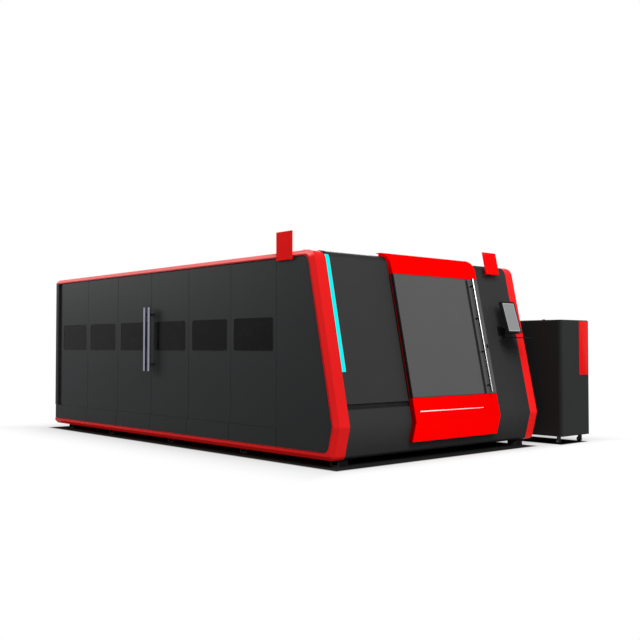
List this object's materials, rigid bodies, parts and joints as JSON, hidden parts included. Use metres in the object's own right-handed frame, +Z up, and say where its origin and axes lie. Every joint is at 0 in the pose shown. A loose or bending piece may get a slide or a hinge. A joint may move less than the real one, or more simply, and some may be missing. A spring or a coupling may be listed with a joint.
{
  "type": "enclosed laser cutting machine",
  "caption": "Fully enclosed laser cutting machine with a sliding front door, hinged side doors, toothed cutting table, gantry head and a cabinet on casters.",
  "frame": {"origin": "on the floor, at the centre of the four corner anchor holes, which is the middle of the enclosure", "axes": "+X to the operator's right across the front, +Y from the front to the rear along the enclosure, +Z up"},
  "size_m": [4.2235, 6.323, 2.38],
  "materials": {
    "graphite_paint": "semi-gloss dark grey powder coat",
    "red_paint": "gloss signal red powder coat",
    "black_paint": "matt black powder coat",
    "machine_grey": "light grey machine enamel",
    "steel": "ground and zinc plated steel",
    "bright_tube": "satin anodised tube",
    "tinted_glass": "dark laser-safe glazing",
    "door_glazing": "smoked laser-safe glazing",
    "lamp_lens": "cyan light strip",
    "screen_face": "grey screen glass",
    "rubber": "grey rubber tyre"
  },
  "bodies": {
    "machine": {"levelling_feet": "black_paint", "base_frame": "black_paint", "bed": "machine_grey", "y_rails": "steel", "table_frame": "machine_grey", "slats": "steel", "scrap_tray": "steel", "wall_frame": "black_paint", "roof_beams": "black_paint", "left_trim": "red_paint", "right_trim": "red_paint", "rear_columns": "graphite_paint", "left_panel_1": "graphite_paint", "left_panel_2": "graphite_paint", "left_panel_5": "graphite_paint", "left_panel_6": "graphite_paint", "left_front_panel": "graphite_paint", "left_windows": "tinted_glass", "right_panels": "graphite_paint", "side_skirts": "graphite_paint", "rear_panels": "graphite_paint", "roof_panels": "graphite_paint", "front_left_cover": "graphite_paint", "front_right_cover": "graphite_paint", "front_header": "graphite_paint", "front_sill": "graphite_paint", "status_light": "lamp_lens", "door_track": "steel", "sign_plates": "red_paint", "door_pivots": "black_paint", "screen_bracket": "black_paint", "cabinet_body": "graphite_paint", "cabinet_stripe": "red_paint", "cabinet_knob": "black_paint", "caster_forks_rear": "black_paint"},
    "front_door": {"door_shell": "red_paint", "door_glass": "door_glazing", "door_handle": "bright_tube", "door_rollers": "steel"},
    "left_door_front": {"left_door_front_leaf": "graphite_paint", "left_door_front_window": "tinted_glass", "left_door_front_handle": "bright_tube"},
    "left_door_rear": {"left_door_rear_leaf": "graphite_paint", "left_door_rear_window": "tinted_glass", "left_door_rear_handle": "bright_tube"},
    "gantry": {"gantry_beam": "machine_grey", "gantry_trucks": "black_paint"},
    "carriage": {"carriage": "black_paint"},
    "lift": {"lift_slide": "machine_grey", "cutting_head": "steel"},
    "screen_arm": {"screen_arm": "black_paint", "keyboard_shelf": "black_paint"},
    "screen": {"screen_housing": "black_paint", "screen_glass": "screen_face"},
    "caster_front_left": {"caster_fork_front_left": "black_paint"},
    "caster_front_right": {"caster_fork_front_right": "black_paint"},
    "wheel_front_left": {"caster_wheel_front_left": "rubber"},
    "wheel_front_right": {"caster_wheel_front_right": "rubber"},
    "wheel_rear_left": {"caster_wheel_rear_left": "rubber"},
    "wheel_rear_right": {"caster_wheel_rear_right": "rubber"}
  },
  "joints": [
    {"name": "front_door_slide", "type": "slide", "parent": "machine", "child": "front_door", "axis": [-1, 0, 0], "range_m": [0, 1]},
    {"name": "left_door_front_hinge", "type": "hinge", "parent": "machine", "child": "left_door_front", "pos_m": [-1.666, -0.461, 1.2], "axis": [0, 0, 1], "range_deg": [0, 110]},
    {"name": "left_door_rear_hinge", "type": "hinge", "parent": "machine", "child": "left_door_rear", "pos_m": [-1.666, 1.201, 1.2], "axis": [0, 0, -1], "range_deg": [0, 110]},
    {"name": "gantry_travel", "type": "slide", "parent": "machine", "child": "gantry", "axis": [0, 1, 0], "range_m": [-3.8, 0.7]},
    {"name": "carriage_travel", "type": "slide", "parent": "gantry", "child": "carriage", "axis": [1, 0, 0], "range_m": [-0.95, 0.95]},
    {"name": "lift_travel", "type": "slide", "parent": "carriage", "child": "lift", "axis": [0, 0, -1], "range_m": [0, 0.095]},
    {"name": "screen_swing", "type": "hinge", "parent": "machine", "child": "screen_arm", "pos_m": [1.185, -2.87197, 1.37942], "axis": [0, 0.2082, 0.9781], "range_deg": [-30, 8]},
    {"name": "screen_tilt", "type": "hinge", "parent": "screen_arm", "child": "screen", "pos_m": [1.185, -2.93848, 1.39358], "axis": [1, 0, 0], "range_deg": [-8, 12]},
    {"name": "caster_front_left_swivel", "type": "hinge", "parent": "machine", "child": "caster_front_left", "pos_m": [1.915, -3.185, 0.09], "axis": [0, 0, 1], "continuous": true},
    {"name": "caster_front_right_swivel", "type": "hinge", "parent": "machine", "child": "caster_front_right", "pos_m": [2.381, -3.185, 0.09], "axis": [0, 0, 1], "continuous": true},
    {"name": "wheel_front_left_spin", "type": "hinge", "parent": "caster_front_left", "child": "wheel_front_left", "pos_m": [1.915, -3.163, 0.032], "axis": [1, 0, 0], "continuous": true},
    {"name": "wheel_front_right_spin", "type": "hinge", "parent": "caster_front_right", "child": "wheel_front_right", "pos_m": [2.381, -3.163, 0.032], "axis": [1, 0, 0], "continuous": true},
    {"name": "wheel_rear_left_spin", "type": "hinge", "parent": "machine", "child": "wheel_rear_left", "pos_m": [1.915, -2.415, 0.032], "axis": [1, 0, 0], "continuous": true},
    {"name": "wheel_rear_right_spin", "type": "hinge", "parent": "machine", "child": "wheel_rear_right", "pos_m": [2.381, -2.415, 0.032], "axis": [1, 0, 0], "continuous": true}
  ]
}
